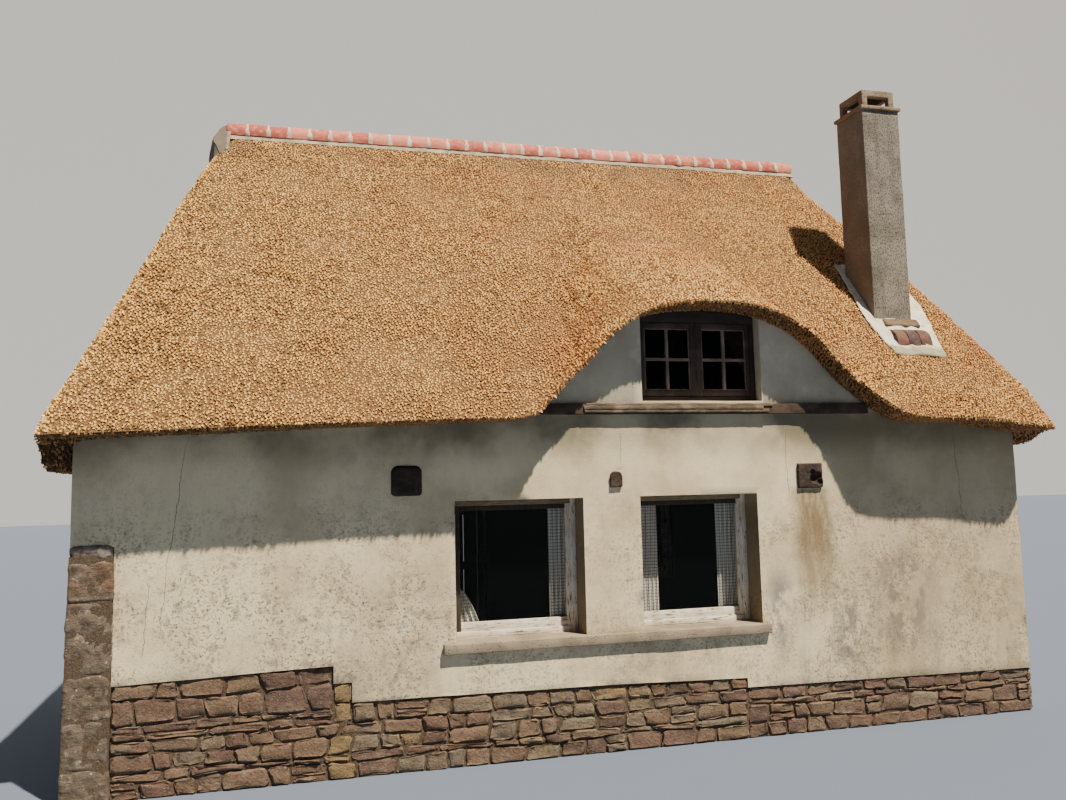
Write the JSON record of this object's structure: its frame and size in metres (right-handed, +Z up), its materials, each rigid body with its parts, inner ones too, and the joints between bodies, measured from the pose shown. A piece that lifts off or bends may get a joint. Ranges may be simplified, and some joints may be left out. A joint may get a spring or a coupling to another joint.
{
  "type": "thatched cottage",
  "caption": "Small rendered stone cottage with a hipped reed thatch, an eyebrow dormer, a clay tile ridge, a square concrete chimney and a raised loft floor.",
  "frame": {"origin": "middle of the house on the ground plane, under the middle of the roof's outline", "axes": "+X along the ridge to the chimney end, +Y from the windowed front to the back, +Z up"},
  "size_m": [8.38, 5.134, 5.9],
  "materials": {
    "render": "weathered lime render",
    "rubble": "rough rubble in lime mortar",
    "quoin_stone": "rough dressed stone",
    "concrete": "weathered concrete",
    "old_timber": "weathered oak",
    "board": "grey weathered board",
    "roof_timber": "sawn softwood",
    "brown_joinery": "dark stained timber",
    "white_joinery": "peeling white paint on timber",
    "pane": "clear float glass",
    "net": "white checked net",
    "rod": "dull brass",
    "thatch": "new reed butts",
    "mortar": "trowelled lime mortar",
    "clay_tile": "matt fired clay",
    "floor_slab": "beaten earth and lime"
  },
  "bodies": {
    "root": {"front_wall": "render", "front_stone_base": "rubble", "corner_quoin": "quoin_stone", "back_wall": "render", "back_stone_base": "rubble", "left_wall": "render", "left_stone_base": "rubble", "right_wall": "render", "right_stone_base": "rubble", "ground_floor": "floor_slab", "loft_floor": "roof_timber", "tie_beam_left": "old_timber", "tie_beam_middle": "old_timber", "tie_beam_right": "old_timber", "left_window_frame": "white_joinery", "left_window_glass": "pane", "right_window_frame": "white_joinery", "right_window_glass": "pane", "back_window_frame": "white_joinery", "back_window_glass": "pane", "front_window_sill": "concrete", "left_window_curtain_rod": "rod", "right_window_curtain_rod": "rod", "left_window_curtain_left": "net", "left_window_curtain_right": "net", "right_window_curtain_left": "net", "right_window_curtain_right": "net", "dormer_beam": "old_timber", "dormer_board": "board", "dormer_wall": "render", "dormer_window_frame": "brown_joinery", "dormer_casement_left": "brown_joinery", "dormer_glass_left": "pane", "dormer_casement_right": "brown_joinery", "dormer_glass_right": "pane", "back_door_frame": "brown_joinery", "back_door": "brown_joinery", "thatch_front_left": "thatch", "thatch_eyebrow": "thatch", "thatch_front_right": "thatch", "thatch_back": "thatch", "thatch_left_hip": "thatch", "thatch_right_hip": "thatch", "ridge_mortar": "mortar", "ridge_tiles": "clay_tile", "roof_frame": "roof_timber", "chimney_stack": "concrete", "chimney_collar": "concrete", "chimney_cap": "concrete", "chimney_flashing": "mortar", "chimney_apron_tiles": "clay_tile"}
  },
  "joints": []
}
